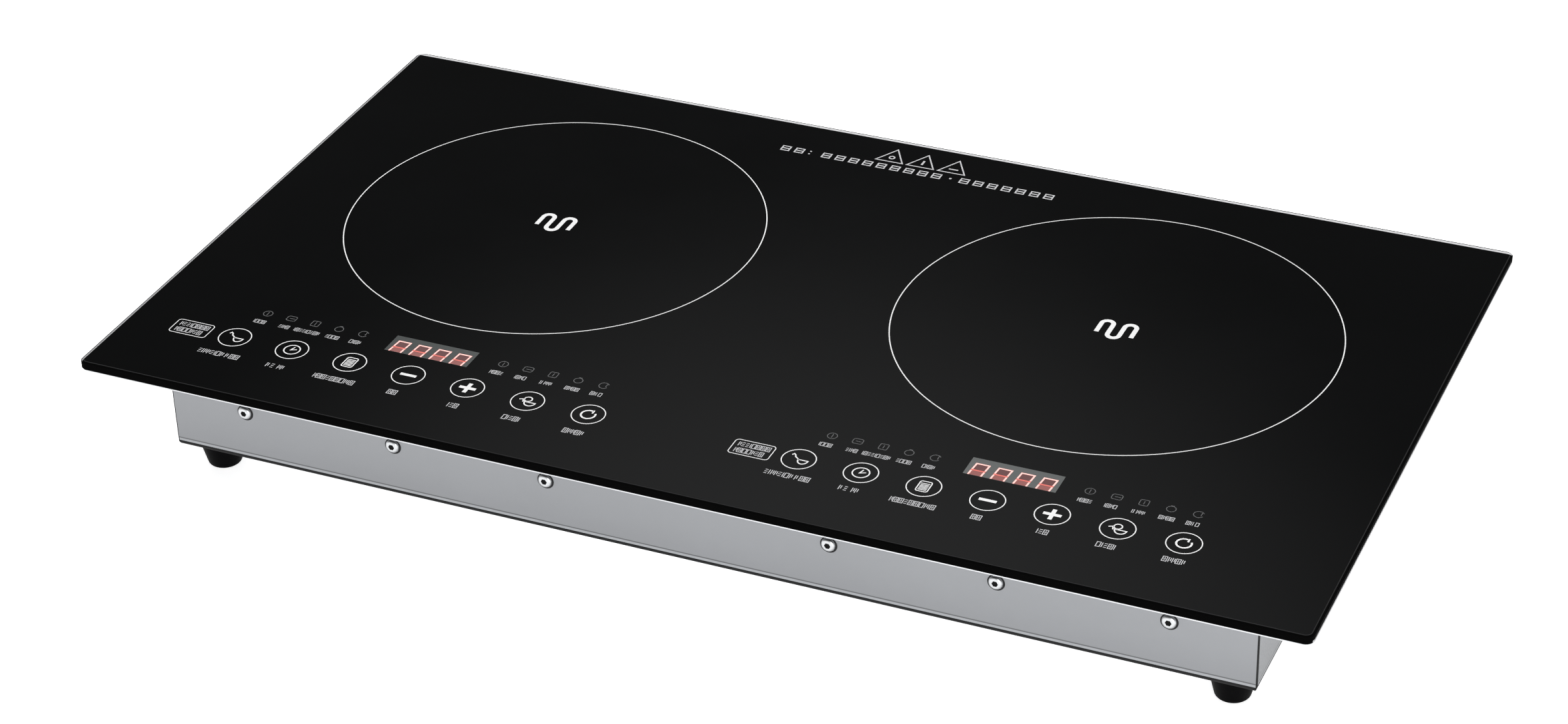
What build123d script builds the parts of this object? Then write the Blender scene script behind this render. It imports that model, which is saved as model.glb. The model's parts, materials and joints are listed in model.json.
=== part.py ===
"""Two-zone induction cooktop: a black glass plate on a folded steel tray with four rubber feet.

Millimetres. +X runs to the right along the front edge, +Y to the back, +Z up.
The origin is at the centre of the footprint, on the surface that the feet stand on.
"""

from build123d import *
from math import cos, radians, sin, sqrt
import os

os.makedirs("parts", exist_ok=True)

# Glass plate
TOTAL_HEIGHT = 85.0
GLASS_WIDTH = 710.0
GLASS_DEPTH = 400.0
GLASS_THICKNESS = 5.0
GLASS_CORNER_RADIUS = 5.0
GLASS_BEVEL = 2.0
GLASS_BEVEL_DROP = 0.5
GLASS_ARRIS = 0.5
GLASS_UNDERSIDE = TOTAL_HEIGHT - GLASS_THICKNESS

# Steel tray, folded from one sheet, and the frame that the glass is bonded to
CASE_WIDTH = 637.0
CASE_DEPTH = 332.0
CASE_RIGHT = CASE_WIDTH / 2
CASE_BACK = CASE_DEPTH / 2
FOOT_HEIGHT = 17.5
SHEET = 1.0
FLOOR = FOOT_HEIGHT + SHEET
BEND_RADIUS = 3.0
CORNER_SLIT = 0.4
ADHESIVE_THICKNESS = 2.0
FRAME_TOP = GLASS_UNDERSIDE - ADHESIVE_THICKNESS
TRAY_TOP = FRAME_TOP - SHEET
FLANGE_WIDTH = 12.0
SKIRT_INSET = SHEET + 0.2
SKIRT_BOTTOM = 43.0
VENT_HEIGHT = 33.0

# Screws
M4_RADIUS = 2.0
M3_RADIUS = 1.5
HOLE_CLEARANCE = 0.05
CASE_SCREW_HEIGHT = 50.4
CASE_SCREW_X = (83.3, 177.3, 271.3)
CASE_SCREW_Y = 90.0
CASE_SCREW_HEAD = 4.1
CASE_SCREW_DOME = 2.2

# Feet
FOOT_X = 301.0
FOOT_Y = 148.0
FOOT_TOP_RADIUS = 13.6
FOOT_BOTTOM_RADIUS = 9.4
FOOT_ROUNDING = 2.4
FOOT_RECESS_RADIUS = 5.0
FOOT_RECESS_DEPTH = 7.0
FOOT_NUT_HEIGHT = 3.0

# Cord entry in the rear wall
GLAND_HEIGHT = 33.0
GLAND_THREAD_RADIUS = 7.5
CORD_BORE_RADIUS = 4.5
GLAND_BODY = 10.4

# Cooking zones
ZONE_X = 173.3
ZONE_Y = 36.0
COIL_INNER_RADIUS = 28.0
COIL_OUTER_RADIUS = 91.0
COIL_TURNS = 14
LITZ_RADIUS = 2.1
MICA_THICKNESS = 0.8
COIL_TOP = GLASS_UNDERSIDE - MICA_THICKNESS
COIL_AXIS_HEIGHT = COIL_TOP - LITZ_RADIUS
FORMER_TOP = COIL_TOP - 2 * LITZ_RADIUS
FORMER_BOTTOM = FORMER_TOP - 4.0
FORMER_RADIUS = 96.0
SPOKES = 6
SPOKE_WIDTH = 12.0
HUB_RADIUS = 20.0
SENSOR_RADIUS = 8.0
FERRITE_LENGTH = 60.0
FERRITE_WIDTH = 9.0
FERRITE_HEIGHT = 5.5
LUG_CIRCLE = 101.0
LUG_RADIUS = 7.0
LUG_ANGLES = (90, 210, 330)
POST_SHOULDER = 50.0
POST_RADIUS = 5.0
PIN_RADIUS = 2.5
LEAD_BEND = 5.0

# Fans: axial, flat on the floor, drawing air in through the grille below
FAN_X = 258.0
FAN_Y = 93.0
FAN_SIZE = 92.0
FAN_TOP = FLOOR + 25.0
FAN_SPIDER_TOP = FLOOR + 2.5
DUCT_RADIUS = 43.0
BLADE_TIP_RADIUS = 41.3
BLADES = 7
CUP_RADIUS = 20.0
CUP_TOP = FAN_TOP - 1.5
CUP_BOTTOM = FLOOR + 5.0
SHAFT_RADIUS = 1.5
SHAFT_BOTTOM = FLOOR + 3.6
FAN_SCREW_PITCH = 82.5
GRILLE_RADIUS = 41.0
GRILLE_PITCH = 7.0
GRILLE_SLOT = 3.6
GRILLE_RIB = 5.0

# Power boards
BOARD_X = 150.0
BOARD_WIDTH = 100.0
BOARD_DEPTH = 150.0
BOARD_THICKNESS = 1.6
BOARD_UNDERSIDE = 29.0
BOARD_TOP = BOARD_UNDERSIDE + BOARD_THICKNESS
BOARD_HOLE_INSET = 6.0
SINK_X = 175.0
SINK_Y = 15.0
SINK_WIDTH = 32.0
SINK_LENGTH = 90.0
SINK_HEIGHT = 26.0
SINK_FINS = 6
TAB_SIZE = 8.0
TAB_X = 196.0
INNER_TAB_Y = -44.0
OUTER_TAB_Y = -57.0
LEAD_LEVEL = BOARD_TOP + 5.0

# Control units, one under each row of touch keys
CONTROL_CENTRES = {"left": -175.0, "right": 166.0}
KEYS = 7
KEY_PITCH = 36.0
KEY_ROW_Y = -145.5
DISPLAY_ROW_Y = -117.0
INDICATORS = 5
INDICATOR_PITCH = 15.3
INDICATOR_OFFSET = 74.5
CONTROL_WIDTH = 246.0
CONTROL_DEPTH = 54.0
CONTROL_Y = -130.0
CARRIER_WALL = 2.0
CARRIER_BOTTOM = 64.0
CARRIER_TOP = 74.0
CONTROL_UNDERSIDE = 68.0
CONTROL_TOP = CONTROL_UNDERSIDE + BOARD_THICKNESS
DISPLAY_WIDTH = 50.3
DISPLAY_DEPTH = 19.0
DISPLAY_HEIGHT = 9.4
DIGIT_PITCH = 12.8
RIBBON_X = 130.0
RIBBON_WIDTH = 14.0
RIBBON_START_Y = -105.0

SITS_ON = (Align.CENTER, Align.CENTER, Align.MIN)
HANGS_FROM = (Align.CENTER, Align.CENTER, Align.MAX)


# ---------------------------------------------------------------- helpers


def save(piece, name):
    """Label a finished piece and write it out."""
    piece.part.label = name
    export_step(piece.part, f"parts/{name}.step")


def save_both_sides(piece, name):
    """Write a piece of the right-hand zone, and its mirror image for the left-hand zone."""
    save(piece, f"{name}_right")
    with BuildPart() as left:
        mirror(piece.part, about=Plane.YZ)
    save(left, f"{name}_left")


def save_at(piece, name, places):
    """Write one copy of a piece at each named (x, y) place."""
    for side, (x, y) in places.items():
        with BuildPart() as copy:
            with Locations((x, y, 0)):
                add(piece.part)
        save(copy, f"{name}_{side}")


def save_fan_piece(piece, name):
    save_at(piece, name, {"left": (-FAN_X, FAN_Y), "right": (FAN_X, FAN_Y)})


def save_control_piece(piece, name):
    save_at(piece, name, {side: (x, 0) for side, x in CONTROL_CENTRES.items()})


def wall_planes():
    """A plane at each wall screw, its normal pointing out of the case."""
    planes = []
    for way in (-1, 1):
        for x in CASE_SCREW_X:
            for hand in (-1, 1):
                origin = (hand * x, way * CASE_BACK, CASE_SCREW_HEIGHT)
                planes.append(Plane(origin, x_dir=(1, 0, 0), z_dir=(0, way, 0)))
        for y in (-CASE_SCREW_Y, CASE_SCREW_Y):
            origin = (way * CASE_RIGHT, y, CASE_SCREW_HEIGHT)
            planes.append(Plane(origin, x_dir=(0, 1, 0), z_dir=(way, 0, 0)))
    return planes


def rear_plane(x, z):
    return Plane((x, CASE_BACK, z), x_dir=(1, 0, 0), z_dir=(0, 1, 0))


def corners(x, y, half_x, half_y, z):
    return [(x + i * half_x, y + j * half_y, z) for i in (-1, 1) for j in (-1, 1)]


def foot_places(z):
    return corners(0, 0, FOOT_X, FOOT_Y, z)


def board_screw_places(x, z):
    half_x = BOARD_WIDTH / 2 - BOARD_HOLE_INSET
    half_y = BOARD_DEPTH / 2 - BOARD_HOLE_INSET
    return corners(x, 0, half_x, half_y, z)


def lug_places(zone_x, z):
    """The three points where a coil hangs on its springs."""
    return [
        (zone_x + LUG_CIRCLE * cos(radians(a)), ZONE_Y + LUG_CIRCLE * sin(radians(a)), z)
        for a in LUG_ANGLES
    ]


def indicator_places(z):
    """Both groups of indicator lamps, about the centre of a control unit."""
    return [
        (way * INDICATOR_OFFSET + (i - INDICATORS // 2) * INDICATOR_PITCH, DISPLAY_ROW_Y, z)
        for way in (-1, 1)
        for i in range(INDICATORS)
    ]


def wire(radius, bend, *points):
    """A round wire along straight runs between the points, joined by bends."""
    with BuildPart() as strand:
        with BuildLine() as path:
            FilletPolyline(*points, radius=bend)
        with BuildSketch(Plane(points[0], z_dir=Vector(*points[1]) - Vector(*points[0]))):
            Circle(radius)
        sweep(path=path.wire())
    return strand.part


def spring(mean_radius, wire_radius, turns, height):
    """A round-wire compression spring standing on the XY plane."""
    rise = height - 2 * wire_radius
    with BuildPart() as coil:
        with BuildLine() as path:
            Helix(pitch=rise / turns, height=rise, radius=mean_radius, center=(0, 0, wire_radius))
        with BuildSketch(Plane(path.line @ 0, z_dir=path.line % 0)):
            Circle(wire_radius)
        sweep(path=path.line)
    return coil.part


# ---------------------------------------------------------------- enclosure


def make_glass():
    with BuildPart() as glass:
        with BuildSketch(Plane.XY.offset(GLASS_UNDERSIDE)):
            RectangleRounded(GLASS_WIDTH, GLASS_DEPTH, GLASS_CORNER_RADIUS)
        extrude(amount=GLASS_THICKNESS)
        # A shallow ground bevel round the top, and a small arris below.
        top = glass.faces().sort_by(Axis.Z)[-1]
        chamfer(top.edges(), length=GLASS_BEVEL, length2=GLASS_BEVEL_DROP, reference=top)
        chamfer(glass.faces().sort_by(Axis.Z)[0].edges(), length=GLASS_ARRIS)
    save(glass, "glass_top")


def make_adhesive():
    edge = 2 * 1.5
    bead = 2 * (FLANGE_WIDTH - 2.5)
    with BuildPart() as adhesive:
        with BuildSketch(Plane.XY.offset(FRAME_TOP)):
            RectangleRounded(CASE_WIDTH - edge, CASE_DEPTH - edge, 4)
            RectangleRounded(CASE_WIDTH - bead, CASE_DEPTH - bead, 3, mode=Mode.SUBTRACT)
        extrude(amount=ADHESIVE_THICKNESS)
    save(adhesive, "glass_adhesive")


def make_frame():
    flange = 2 * FLANGE_WIDTH
    outside = 2 * SKIRT_INSET
    inside = 2 * (SKIRT_INSET + SHEET)
    with BuildPart() as frame:
        with BuildSketch(Plane.XY.offset(SKIRT_BOTTOM)):
            RectangleRounded(CASE_WIDTH - outside, CASE_DEPTH - outside, 4)
            RectangleRounded(CASE_WIDTH - inside, CASE_DEPTH - inside, 3, mode=Mode.SUBTRACT)
        extrude(amount=TRAY_TOP - SKIRT_BOTTOM)
        # Relief at the corners, where the skirt is folded down as four strips.
        with Locations(*corners(0, 0, CASE_RIGHT, CASE_BACK, SKIRT_BOTTOM)):
            Box(26, 26, TRAY_TOP - SKIRT_BOTTOM, align=SITS_ON, mode=Mode.SUBTRACT)
        with BuildSketch(Plane.XY.offset(TRAY_TOP)):
            RectangleRounded(CASE_WIDTH, CASE_DEPTH, 1.5)
            RectangleRounded(CASE_WIDTH - flange, CASE_DEPTH - flange, 4, mode=Mode.SUBTRACT)
        extrude(amount=SHEET)
        for plane in wall_planes():
            with BuildSketch(plane):
                Circle(M4_RADIUS + HOLE_CLEARANCE)
            extrude(amount=-5, mode=Mode.SUBTRACT)
    save(frame, "glass_frame")


def tray_shell():
    with BuildPart() as outer:
        with Locations((0, 0, FOOT_HEIGHT)):
            Box(CASE_WIDTH, CASE_DEPTH, TRAY_TOP - FOOT_HEIGHT, align=SITS_ON)
        fillet(outer.faces().sort_by(Axis.Z)[0].edges(), radius=BEND_RADIUS)
    with BuildPart() as inner:
        with Locations((0, 0, FLOOR)):
            Box(CASE_WIDTH - 2 * SHEET, CASE_DEPTH - 2 * SHEET, TRAY_TOP - FLOOR, align=SITS_ON)
        fillet(inner.faces().sort_by(Axis.Z)[0].edges(), radius=BEND_RADIUS - SHEET)
    return outer.part - inner.part


def make_tray():
    slit_depth = TRAY_TOP - FOOT_HEIGHT - BEND_RADIUS
    slit_y = CASE_BACK - SHEET - CORNER_SLIT / 2
    with BuildPart() as tray:
        add(tray_shell())
        # Slits beside the front and rear walls, where the sheet is not joined.
        with Locations(*corners(0, 0, CASE_RIGHT - SHEET / 2, slit_y, TRAY_TOP)):
            Box(SHEET, CORNER_SLIT, slit_depth, align=HANGS_FROM, mode=Mode.SUBTRACT)
        # Raised rings that the foot screws thread into, and stand-offs for the boards.
        with Locations(*foot_places(FLOOR)):
            Cylinder(4.5, FOOT_NUT_HEIGHT, align=SITS_ON)
        for x in (-BOARD_X, BOARD_X):
            with Locations(*board_screw_places(x, FLOOR)):
                Cylinder(3.5, BOARD_UNDERSIDE - FLOOR, align=SITS_ON)
            with Locations(*board_screw_places(x, BOARD_UNDERSIDE)):
                Cylinder(M3_RADIUS + HOLE_CLEARANCE, 6, align=HANGS_FROM, mode=Mode.SUBTRACT)
        with Locations(*foot_places(FOOT_HEIGHT)):
            Cylinder(M4_RADIUS + HOLE_CLEARANCE, 20, mode=Mode.SUBTRACT)
        for x in (-ZONE_X, ZONE_X):
            with Locations(*lug_places(x, FOOT_HEIGHT)):
                Cylinder(3 + HOLE_CLEARANCE, 4, mode=Mode.SUBTRACT)
        for x in (-FAN_X, FAN_X):
            add(fan_openings(x), mode=Mode.SUBTRACT)
        for x in (-ZONE_X, ZONE_X):
            add(outlets(x), mode=Mode.SUBTRACT)
        for plane in wall_planes():
            with BuildSketch(plane):
                Circle(M4_RADIUS + HOLE_CLEARANCE)
            extrude(amount=-2 * SHEET, mode=Mode.SUBTRACT)
        with BuildSketch(rear_plane(0, GLAND_HEIGHT)):
            Circle(GLAND_THREAD_RADIUS + 0.1)
        extrude(amount=-2 * SHEET, mode=Mode.SUBTRACT)
    save(tray, "base_tray")


def fan_openings(x):
    """What is cut away below a fan: rows of slots divided by a rib, and four screw holes."""
    half = FAN_SCREW_PITCH / 2
    with BuildPart() as openings:
        with BuildSketch(Plane((x, FAN_Y, FOOT_HEIGHT))):
            for row in range(-5, 6):
                y = row * GRILLE_PITCH
                half_chord = sqrt(GRILLE_RADIUS**2 - y**2)
                middle = (half_chord + GRILLE_RIB / 2) / 2
                with Locations((-middle, y), (middle, y)):
                    SlotOverall(half_chord - GRILLE_RIB / 2, GRILLE_SLOT)
        extrude(amount=SHEET)
        with Locations(*corners(x, FAN_Y, half, half, FOOT_HEIGHT)):
            Cylinder(M4_RADIUS + HOLE_CLEARANCE, SHEET, align=SITS_ON)
    return openings.part


def outlets(x):
    """What is cut away for the air to leave: upright slots at the back, long slots at the front."""
    with BuildPart() as slots:
        with BuildSketch(rear_plane(x, VENT_HEIGHT)):
            with GridLocations(8, 1, 14, 1):
                SlotOverall(14, 3.2, rotation=90)
        extrude(amount=-SHEET)
        with BuildSketch(Plane((x, -112, FOOT_HEIGHT))):
            with GridLocations(34, 8, 4, 5):
                SlotOverall(28, 3.2)
        extrude(amount=SHEET)
    return slots.part


def dome_screw(head_radius, head_height, shank_radius, shank_length):
    """A domed socket screw: head above the XY plane, shank below it."""
    with BuildPart() as screw:
        Cylinder(head_radius, head_height, align=SITS_ON)
        fillet(screw.faces().sort_by(Axis.Z)[-1].edges(), radius=0.8 * head_height)
        with BuildSketch(Plane.XY.offset(head_height)):
            RegularPolygon(0.45 * head_radius, 6)
        extrude(amount=-0.75 * head_height, mode=Mode.SUBTRACT)
        Cylinder(shank_radius, shank_length, align=HANGS_FROM)
    return screw.part


def make_screws():
    wall_screw = dome_screw(CASE_SCREW_HEAD, CASE_SCREW_DOME, M4_RADIUS, 6)
    with BuildPart() as frame_screws:
        with Locations(*wall_planes()):
            add(wall_screw)
    save(frame_screws, "frame_screws")

    board_screw = dome_screw(2.8, 1.8, M3_RADIUS, 7)
    with BuildPart() as board_screws:
        for x in (-BOARD_X, BOARD_X):
            with Locations(*board_screw_places(x, BOARD_TOP)):
                add(board_screw)
    save(board_screws, "board_screws")

    fan_screw = dome_screw(3.4, 2.0, M4_RADIUS, FAN_TOP - FOOT_HEIGHT)
    half = FAN_SCREW_PITCH / 2
    with BuildPart() as fan_screws:
        for x in (-FAN_X, FAN_X):
            with Locations(*corners(x, FAN_Y, half, half, FAN_TOP)):
                add(fan_screw)
    save(fan_screws, "fan_screws")

    with BuildPart() as foot_screws:
        with Locations(*foot_places(FOOT_RECESS_DEPTH)):
            Cylinder(4, 2.6, align=HANGS_FROM)
            Cylinder(M4_RADIUS, FLOOR + FOOT_NUT_HEIGHT - FOOT_RECESS_DEPTH, align=SITS_ON)
        for x, y, z in foot_places(FOOT_RECESS_DEPTH - 2.6):
            with BuildSketch(Plane((x, y, z))):
                Rectangle(4.4, 0.9)
                Rectangle(0.9, 4.4)
            extrude(amount=1.4, mode=Mode.SUBTRACT)
    save(foot_screws, "foot_screws")


def make_feet():
    with BuildPart() as foot:
        with BuildSketch():
            Circle(FOOT_BOTTOM_RADIUS)
        with BuildSketch(Plane.XY.offset(FOOT_HEIGHT)):
            Circle(FOOT_TOP_RADIUS)
        loft()
        fillet(foot.faces().sort_by(Axis.Z)[0].edges(), radius=FOOT_ROUNDING)
        Cylinder(FOOT_RECESS_RADIUS, FOOT_RECESS_DEPTH, align=SITS_ON, mode=Mode.SUBTRACT)
        Cylinder(M4_RADIUS + HOLE_CLEARANCE, FOOT_HEIGHT, align=SITS_ON, mode=Mode.SUBTRACT)
    places = {
        f"{row}_{side}": (way_x * FOOT_X, way_y * FOOT_Y)
        for row, way_y in (("front", -1), ("rear", 1))
        for side, way_x in (("left", -1), ("right", 1))
    }
    save_at(foot, "foot", places)


def make_cord_entry():
    outside = rear_plane(0, GLAND_HEIGHT)
    with BuildPart() as gland:
        with BuildSketch(outside):
            RegularPolygon(GLAND_BODY, 6)
        extrude(amount=5)
        with BuildSketch(outside.offset(5)):
            Circle(8.2)
        extrude(amount=9, taper=4)
        with BuildSketch(outside):
            Circle(GLAND_THREAD_RADIUS)
        extrude(amount=-10)
        # Flats on the clamping cap.
        with Locations(outside.offset(9)):
            with PolarLocations(8.6, 6):
                Box(1.6, 4, 10, mode=Mode.SUBTRACT)
        with BuildSketch(outside.offset(-10)):
            Circle(CORD_BORE_RADIUS)
        extrude(amount=24, mode=Mode.SUBTRACT)
    save(gland, "cable_gland")
    with BuildPart() as nut:
        with BuildSketch(outside.offset(-SHEET)):
            RegularPolygon(GLAND_BODY, 6)
            Circle(GLAND_THREAD_RADIUS, mode=Mode.SUBTRACT)
        extrude(amount=-4)
    save(nut, "gland_nut")


def make_terminals():
    ways = 3
    pitch = 14.0
    front = 118.0
    depth = 20.0
    height = 16.0
    with BuildPart() as block:
        with Locations((0, front + depth / 2, FLOOR)):
            Box(ways * pitch + 6, depth, height, align=SITS_ON)
        fillet(block.edges().filter_by(Axis.Z), radius=1.5)
        for i in range(ways):
            x = (i - 1) * pitch
            for y in (front + 5, front + depth - 5):
                with Locations((x, y, FLOOR + height)):
                    Cylinder(3, 5, align=HANGS_FROM, mode=Mode.SUBTRACT)
                    Cylinder(2.6, 9, align=HANGS_FROM)
            with Locations((x, front + depth / 2, FLOOR + 6)):
                Box(5, depth, 5, mode=Mode.SUBTRACT)
    save(block, "terminal_block")
    with BuildPart() as mains_wires:
        for way in (-1, 1):
            for i in (0, 1):
                start = (way * (pitch - 1.2 + 2.4 * i), front, FLOOR + 8.5)
                lower = (start[0], 96 + 7 * i, FLOOR + 3)
                middle = (way * 62.0, 66 + 7 * i, FLOOR + 3)
                beside = (way * 92.0, 53 + 7 * i, BOARD_TOP + 3)
                end = (way * 104.0, 53 + 7 * i, BOARD_TOP + 3)
                add(wire(1.0, 8, start, lower, middle, beside, end))
    save(mains_wires, "mains_wires")


# ---------------------------------------------------------------- cooking zones


def spiral_points():
    """Ends of the half turns, alternately on the two sides of the zone centre."""
    step = (COIL_OUTER_RADIUS - COIL_INNER_RADIUS) / (2 * COIL_TURNS)
    return [(COIL_INNER_RADIUS + i * step) * (-1) ** i for i in range(2 * COIL_TURNS + 1)]


def make_winding():
    level = Plane((ZONE_X, ZONE_Y, COIL_AXIS_HEIGHT))
    with BuildPart() as winding:
        with BuildLine(level):
            ends = spiral_points()
            for i, (a, b) in enumerate(zip(ends, ends[1:])):
                rise = abs(a - b) / 2
                ThreePointArc((a, 0), ((a + b) / 2, rise * (-1) ** i), (b, 0))
        start = Plane((ZONE_X + COIL_INNER_RADIUS, ZONE_Y, COIL_AXIS_HEIGHT), z_dir=(0, 1, 0))
        with BuildSketch(start):
            Circle(LITZ_RADIUS)
        sweep()
    save_both_sides(winding, "coil_winding")


def make_former():
    with BuildPart() as former:
        with Locations((ZONE_X, ZONE_Y, FORMER_BOTTOM)):
            Cylinder(FORMER_RADIUS, FORMER_TOP - FORMER_BOTTOM, align=SITS_ON)
            Cylinder(FORMER_RADIUS - 8, 9, align=SITS_ON, mode=Mode.SUBTRACT)
            Cylinder(HUB_RADIUS, FORMER_TOP - FORMER_BOTTOM, align=SITS_ON)
        with Locations((ZONE_X, ZONE_Y, FORMER_TOP)):
            with PolarLocations((HUB_RADIUS + FORMER_RADIUS) / 2 - 3, SPOKES, start_angle=30):
                Box(FORMER_RADIUS - HUB_RADIUS, SPOKE_WIDTH, 4 + FERRITE_HEIGHT, align=HANGS_FROM)
        with Locations((ZONE_X, ZONE_Y, FORMER_BOTTOM)):
            with PolarLocations(25 + FERRITE_LENGTH / 2, SPOKES, start_angle=30):
                Box(FERRITE_LENGTH, FERRITE_WIDTH, FERRITE_HEIGHT, align=HANGS_FROM, mode=Mode.SUBTRACT)
        with Locations(*lug_places(ZONE_X, FORMER_BOTTOM)):
            Cylinder(LUG_RADIUS, FORMER_TOP - FORMER_BOTTOM, align=SITS_ON)
        with Locations(*lug_places(ZONE_X, FORMER_BOTTOM)):
            Cylinder(PIN_RADIUS + 0.4, 9, align=SITS_ON, mode=Mode.SUBTRACT)
        with Locations((ZONE_X, ZONE_Y, FORMER_BOTTOM)):
            Cylinder(SENSOR_RADIUS, 30, mode=Mode.SUBTRACT)
        # Gap in the rim for the outer lead.
        with Locations((ZONE_X + COIL_OUTER_RADIUS, ZONE_Y + LEAD_BEND, FORMER_BOTTOM)):
            Box(14, 12, 20, mode=Mode.SUBTRACT)
    save_both_sides(former, "coil_former")


def make_zone_trim():
    with BuildPart() as ferrites:
        with Locations((ZONE_X, ZONE_Y, FORMER_BOTTOM)):
            with PolarLocations(25 + FERRITE_LENGTH / 2, SPOKES, start_angle=30):
                Box(FERRITE_LENGTH, FERRITE_WIDTH, FERRITE_HEIGHT, align=HANGS_FROM)
    save_both_sides(ferrites, "ferrite_bars")

    with BuildPart() as mica:
        with Locations((ZONE_X, ZONE_Y, COIL_TOP)):
            Cylinder(FORMER_RADIUS, MICA_THICKNESS, align=SITS_ON)
            Cylinder(SENSOR_RADIUS + 0.5, MICA_THICKNESS, align=SITS_ON, mode=Mode.SUBTRACT)
    save_both_sides(mica, "mica_disc")

    with BuildPart() as sensor:
        with Locations((ZONE_X, ZONE_Y, FORMER_BOTTOM)):
            Cylinder(SENSOR_RADIUS, GLASS_UNDERSIDE - FORMER_BOTTOM, align=SITS_ON)
            Cylinder(SENSOR_RADIUS + 2, 1.5, align=HANGS_FROM)
        for shift in (-2, 2):
            top = (ZONE_X + shift, ZONE_Y, FORMER_BOTTOM - 1.5)
            elbow = (ZONE_X + shift, ZONE_Y, 62)
            above = (ZONE_X - 22 + shift, ZONE_Y + 16, 61)
            end = (ZONE_X - 22 + shift, ZONE_Y + 16, BOARD_TOP)
            add(wire(0.7, 3, top, elbow, above, end))
    save_both_sides(sensor, "pan_sensor")

    one = spring(4.2, 0.55, 5, FORMER_BOTTOM - POST_SHOULDER)
    with BuildPart() as springs:
        with Locations(*lug_places(ZONE_X, POST_SHOULDER)):
            add(one)
    save_both_sides(springs, "coil_springs")

    inner = (ZONE_X + COIL_INNER_RADIUS, ZONE_Y, COIL_AXIS_HEIGHT)
    outer = (ZONE_X + COIL_OUTER_RADIUS, ZONE_Y, COIL_AXIS_HEIGHT)
    with BuildPart() as leads:
        inner_route = (
            (TAB_X, INNER_TAB_Y + 34, LEAD_LEVEL),
            (TAB_X, INNER_TAB_Y + TAB_SIZE / 2, LEAD_LEVEL),
        )
        add(lead(inner, -1, inner_route))
        outer_route = (
            (ZONE_X + 66, OUTER_TAB_Y, LEAD_LEVEL),
            (TAB_X + TAB_SIZE / 2, OUTER_TAB_Y, LEAD_LEVEL),
        )
        add(lead(outer, 1, outer_route))
    save_both_sides(leads, "coil_leads")


def lead(start, way, route):
    """Litz lead from an end of the winding: a bend straight down, then across to the board."""
    x, y, z = start
    bend = LEAD_BEND * sqrt(0.5)
    elbow = (x, y + way * bend, z - LEAD_BEND + bend)
    below = (x, y + way * LEAD_BEND, z - LEAD_BEND)
    foot = (x, y + way * LEAD_BEND, LEAD_LEVEL + 9)
    with BuildPart() as piece:
        with BuildLine() as path:
            ThreePointArc(start, elbow, below)
            FilletPolyline(below, foot, *route, radius=8)
        with BuildSketch(Plane(start, z_dir=(0, way, 0))):
            Circle(LITZ_RADIUS)
        sweep(path=path.wire())
    return piece.part


def make_posts():
    with BuildPart() as posts:
        for x in (-ZONE_X, ZONE_X):
            with Locations(*lug_places(x, FLOOR)):
                Cylinder(POST_RADIUS, POST_SHOULDER - FLOOR, align=SITS_ON)
                Cylinder(3, SHEET, align=HANGS_FROM)
            with Locations(*lug_places(x, POST_SHOULDER)):
                Cylinder(PIN_RADIUS, FORMER_TOP + 2 - POST_SHOULDER, align=SITS_ON)
            with Locations(*lug_places(x, FOOT_HEIGHT)):
                Cylinder(4.5, 0.8, align=HANGS_FROM)
    save(posts, "coil_posts")


# ---------------------------------------------------------------- power electronics


def make_power_board():
    with BuildPart() as board:
        with Locations((BOARD_X, 0, BOARD_UNDERSIDE)):
            Box(BOARD_WIDTH, BOARD_DEPTH, BOARD_THICKNESS, align=SITS_ON)
        with Locations(*board_screw_places(BOARD_X, BOARD_UNDERSIDE)):
            Cylinder(M3_RADIUS + 0.1, 9, mode=Mode.SUBTRACT)
        # Mains connector, ribbon socket, bus capacitor and driver chips.
        with Locations((110, 57, BOARD_TOP)):
            Box(12, 16, 6, align=SITS_ON)
        with Locations((RIBBON_X, -66, BOARD_TOP)):
            Box(RIBBON_WIDTH + 4, 6, 6, align=SITS_ON)
        with Locations((TAB_X, INNER_TAB_Y, BOARD_TOP), (TAB_X, OUTER_TAB_Y, BOARD_TOP)):
            Box(TAB_SIZE, TAB_SIZE, 10, align=SITS_ON)
        with Locations((138, 60, BOARD_TOP)):
            Cylinder(8, 22, align=SITS_ON)
        with Locations((142, -38, BOARD_TOP), (142, -20, BOARD_TOP)):
            Box(8, 12, 2.4, align=SITS_ON)
    save_both_sides(board, "power_board")


def make_heat_sink():
    fin_height = SINK_HEIGHT - 4
    with BuildPart() as sink:
        with Locations((SINK_X, SINK_Y, BOARD_TOP)):
            Box(SINK_WIDTH, SINK_LENGTH, 4, align=SITS_ON)
        with Locations((SINK_X, SINK_Y, BOARD_TOP + 4)):
            with GridLocations((SINK_WIDTH - 2) / (SINK_FINS - 1), 1, SINK_FINS, 1):
                Box(2, SINK_LENGTH, fin_height, align=SITS_ON)
    save_both_sides(sink, "heat_sink")

    face = SINK_X - SINK_WIDTH / 2
    with BuildPart() as transistors:
        for y in (-12, 15, 42):
            with Locations((face - 2.5, y, BOARD_TOP + 4)):
                Box(5, 16, 20, align=SITS_ON)
            with Locations((face - 2.5, y, BOARD_TOP)):
                with GridLocations(1, 5.4, 1, 3):
                    Box(0.8, 1.4, 4, align=SITS_ON)
    save_both_sides(transistors, "power_transistors")


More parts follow.
